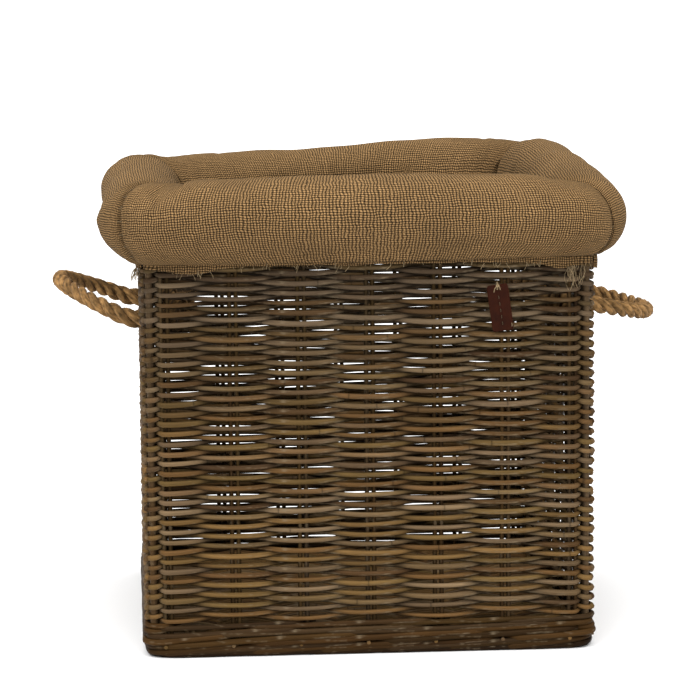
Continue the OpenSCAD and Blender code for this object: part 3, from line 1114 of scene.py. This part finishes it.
def laid_rope(shell, path, radius, rng, seed, colour=ROPE_TINT):
    """Three strands twisted round a path, each with a few yarns showing."""
    strand = radius / (1 + 2 / sqrt(3))
    orbit = radius - strand
    a, b = frames_carried(path)
    s = lengths(path)
    angles = np.arange(STRAND_SIDES) * tau / STRAND_SIDES
    for k in range(3):
        turn = tau * (s / ROPE_LAY + k / 3) + 0.12 * wobble(seed + k, s, 0.05)
        centre = path + a * (orbit * np.cos(turn))[:, None] + b * (orbit * np.sin(turn))[:, None]
        phase = YARNS * (angles[None] + s[:, None] / ROPE_LAY * tau * 1.6)
        bumps = 1 + 0.085 * np.cos(phase) + 0.03 * wobble(seed + 20 + k, s, 0.012)[:, None]
        tint = colour * (1 + 0.35 * wobble(seed + 40 + k, s, 0.03)[:, None]) * rng.uniform(0.9, 1.1)
        tube(shell, centre, strand * 1.04, tint, STRAND_SIDES, bumps=bumps)


def fibres(shell, path, radius, count, rng, long=(4, 14)):
    """Stray fibres that stand off a rope."""
    a, b = frames_carried(path)
    along = unit(np.gradient(path, axis=0))
    t = np.linspace(0, 1, 5)[:, None]
    for _ in range(count):
        i = rng.integers(2, len(path) - 2)
        angle = rng.uniform(0, tau)
        out = a[i] * cos(angle) + b[i] * sin(angle)
        start = path[i] + out * radius * 0.9
        reach = rng.uniform(*long) * MM
        lean = along[i] * rng.uniform(-1.6, 1.6) + out * rng.uniform(0.25, 0.9)
        curl = np.cross(lean, out) * rng.uniform(-0.8, 0.8)
        line = start + (unit(lean) * t + curl * t**2 * 0.5) * reach
        tube(shell, line, FIBRE_TAPER * FIBRE_R, ROPE_TINT * rng.uniform(0.8, 1.5), 3)


def to_side(points, side):
    """Turns points given as x along a side, y out from the centre and z up to the shared frame."""
    return turned(points * [1, -1, 1], side)


def make_handle(side, joint, rise, seed):
    """One rope handle with its stray fibres and its knots. The rope bends where it leaves the wall."""
    name = SIDES[side]
    hinge = joints[joint]["pos_m"]
    out, z = abs(hinge[0]), hinge[2] + ROPE_SHIFT[name]
    inside = out - (WALL - WALL_T / 2) + 2 * MM
    route = smooth_route(handle_route(rise, inside), 1.5 * MM, 60)
    x = route[:, 0]
    rng = np.random.default_rng(seed)
    waver = np.column_stack([0 * x, 0.6 * MM * wobble(seed, x, 0.05), 1.2 * MM * wobble(seed + 1, x, 0.08)])
    path = to_side(route + waver + [0, out, z], side)
    shell = Shell()
    out_of_wall = np.abs(path[:, 0]) - WALL
    spliced = ROPE_R * (1 + 0.22 * np.exp(-((out_of_wall / (30 * MM)) ** 2)))
    laid_rope(shell, path, spliced, rng, seed)
    rope = shell.make(name + "_handle_rope", MANILA)
    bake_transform(rope)
    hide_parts(name + "_rope_loop")
    hairs = Shell()
    fibres(hairs, path, ROPE_R, 260, rng)
    fuzz = hairs.make(name + "_handle_fibres", MANILA)
    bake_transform(fuzz)
    make_knots(side, z, rng, seed)


def make_knots(side, z, rng, seed):
    """The knot on each rope end, against the inside of the wall."""
    shell = Shell()
    face = WALL - WALL_T / 2
    turns = np.linspace(0, 2.0 * tau, 60)
    coil_r = ROPE_R + 0.35 * KNOT_R
    for k, x in enumerate((-ROPE_SPAN / 2, ROPE_SPAN / 2)):
        centre = np.stack([
            x + coil_r * np.cos(turns) * 0.8,
            face - KNOT_R - 2 * MM - turns / tau * 9.5 * MM,
            z + coil_r * np.sin(turns) * 0.8,
        ], -1)
        lead = np.array([[0, 4, 0], [2, -1, -2]]) * MM + [x, face, z]
        tail = np.array([[0, -6, 0], [-3, -16, -6]]) * MM + [x, centre[-1, 1], z]
        path = to_side(smooth_route(np.concatenate([lead, centre, tail]), 1.5 * MM, 14), side)
        laid_rope(shell, path, KNOT_R, rng, seed + 70 + k, KNOT_TINT)
        fibres(shell, path[-12:], KNOT_R, 30, rng, (6, 16))
    claim(shell.make(SIDES[side] + "_knots", MANILA), "basket", "rope", SIDES[side] + "_rope_tails")


# ---- tag

TAG_W, TAG_L, TAG_T = 21 * MM, 46 * MM, 2.4 * MM
TAG_LEAN = radians(8)
TAG_HOLE_DROP = 4.6 * MM
RING_R = 3.4 * MM
TAG_TOP = TAG_HOLE_DROP - RING_R
SCORE_AT, SCORE_DEPTH = 0.9 * MM, 0.45 * MM
tie = np.array(joints["tag_lift"]["pos_m"])


def on_tag(x, y, z):
    """A point of the tag, from its own frame with the tie's ring at the origin."""
    c, d = cos(TAG_LEAN), sin(TAG_LEAN)
    return tie + np.stack([c * x - d * z, y, d * x + c * z], -1)


def leather_slab():
    """The strap of leather, thinned at its edges, scored down the middle and dented round the hole."""
    u, w = np.meshgrid(np.linspace(-1, 1, 26), np.linspace(-1, 1, 56), indexing="ij")
    pull = np.maximum(np.abs(u) * np.abs(w) - 0.9, 0) * 0.9
    x = u * TAG_W / 2 * (1 - pull)
    z = TAG_TOP - TAG_L / 2 + w * TAG_L / 2 * (1 - 0.5 * pull)
    edge = np.minimum(np.minimum(1 - np.abs(u), (1 - np.abs(w)) * TAG_L / TAG_W), 0.09) / 0.09
    crown = TAG_T / 2 * (0.45 + 0.55 * np.sin(edge * pi / 2))
    curl = 0.9 * MM * ((z - TAG_TOP) / TAG_L) ** 2 - 0.35 * MM * (u**2)
    lines = [np.exp(-((x + at) / (0.35 * MM)) ** 2) for at in (-SCORE_AT, SCORE_AT)]
    score = sum(lines) * (np.abs(w) < 0.72)
    dent = 1.5 * MM * np.exp(-((np.hypot(x, z + RING_R) / (1.2 * MM)) ** 2))
    front = on_tag(x, curl - crown + SCORE_DEPTH * score + dent, z)
    back = on_tag(x, curl + crown - dent, z)
    colour = LEATHER_TINT * (1 + 0.5 * np.exp(-edge * 2.2)[..., None]) * (1 - 0.5 * score[..., None])
    shell = Shell()
    slab(shell, front, back, np.stack([x, z], -1).reshape(-1, 2), colour)
    return shell.make("hanging_tag", LEATHER)


def tag_thread():
    """A few stitches down the tag's scored line and one at its lower right corner."""
    shell = Shell()
    rng = np.random.default_rng(61)
    face = -TAG_T / 2 - 0.15 * MM
    for k in range(5):
        z = TAG_TOP - TAG_L * (0.24 + 0.14 * k)
        line = np.array([[0, 0.5, 0], [0.1, -0.1, -1.5], [0, 0.5, -3]]) * MM + [0, face, z]
        tube(shell, on_tag(*line.T), 0.35 * MM, JUTE_THREAD * 0.25, 5)
    line = np.array([[0, 0.3, 0], [0.3, -0.3, 1.6], [0.2, 0.3, 3.4]]) * MM
    line += [TAG_W * 0.42, face, TAG_TOP - TAG_L * 0.93]
    tube(shell, on_tag(*line.T), 0.4 * MM, JUTE_THREAD * 0.8 * rng.uniform(0.9, 1.1), 5)
    return shell.make("tag_stitches", MANILA)


def twine_tie():
    """The twisted twine ring through the tag, with a small knot and two short tails."""
    shell = Shell()
    a = np.linspace(0, tau, 40)
    for k in range(2):
        twist = a * 5 + k * pi
        r = RING_R + 0.38 * MM * np.cos(twist)
        ring = tie + np.stack([0.38 * MM * np.sin(twist), r * np.sin(a), r * np.cos(a)], -1)
        tube(shell, ring, 0.42 * MM, JUTE_THREAD, 6)
    front = tie + np.array([0, -RING_R - 0.4 * MM, 0.6 * MM])
    t = np.linspace(0, 1, 8)[:, None]
    for dx, dz in ((-3.4, -6.5), (2.6, -4.2)):
        sag = np.sin(t * pi) * np.array([dx * 0.25, -0.8, 0.6])
        tube(shell, front + (t * np.array([dx, 0.8, dz]) + sag) * MM, 0.45 * MM, JUTE_THREAD * 0.9, 6)
    t = np.linspace(0, 1.6 * tau, 26)
    knot = front + np.stack([1.3 * np.cos(t), 0.7 * np.sin(2 * t), 1.1 * np.sin(t)], -1) * MM
    tube(shell, knot, 0.5 * MM, JUTE_THREAD, 6)
    return shell.make("tag_tie_twine", MANILA)


def make_tag():
    claim(leather_slab(), "tag", "leather", "leather_tag")
    claim(tag_thread(), "tag", "jute_thread")
    claim(twine_tie(), "tag_tie", "jute_thread", "tag_twine")


# ---- stage

FLOOR_HALF = 600.0
WORLD_LIGHT = 0.52
SUNS = (("softbox", (-0.3, -1.3, 3.3), 4.6), ("fill", (0.8, -3.0, 1.2), 0.3))


def make_stage():
    f = FLOOR_HALF
    mesh = bpy.data.meshes.new("floor")
    mesh.from_pydata([(-f, -f, 0), (f, -f, 0), (f, f, 0), (-f, f, 0)], [], [(0, 1, 2, 3)])
    mesh.materials.append(floor_material())
    add_object("floor", mesh)
    world = bpy.data.worlds.new("world")
    bpy.context.scene.world = world
    world.use_nodes = True
    background = world.node_tree.nodes["Background"]
    background.inputs["Color"].default_value = (1, 1, 1, 1)
    background.inputs["Strength"].default_value = WORLD_LIGHT
    for name, place, power in SUNS:
        data = bpy.data.lights.new(name, "SUN")
        data.energy, data.angle = power, radians(90)
        lamp = add_object(name, data)
        lamp.location = place
        lamp.rotation_euler = (-Vector(place)).to_track_quat("-Z", "Y").to_euler()
    bpy.context.scene.view_settings.view_transform = "Standard"


make_handle(3, "left_handle_swing", LEFT_RISE, 31)
make_handle(1, "right_handle_swing", RIGHT_RISE, 37)
make_wicker()
make_foot()
make_base()
make_rim()
make_tag()
make_stage()

top_border = frame["nodes"]["top_border"]
top_border.data.materials.clear()
top_border.data.materials.append(RATTAN)
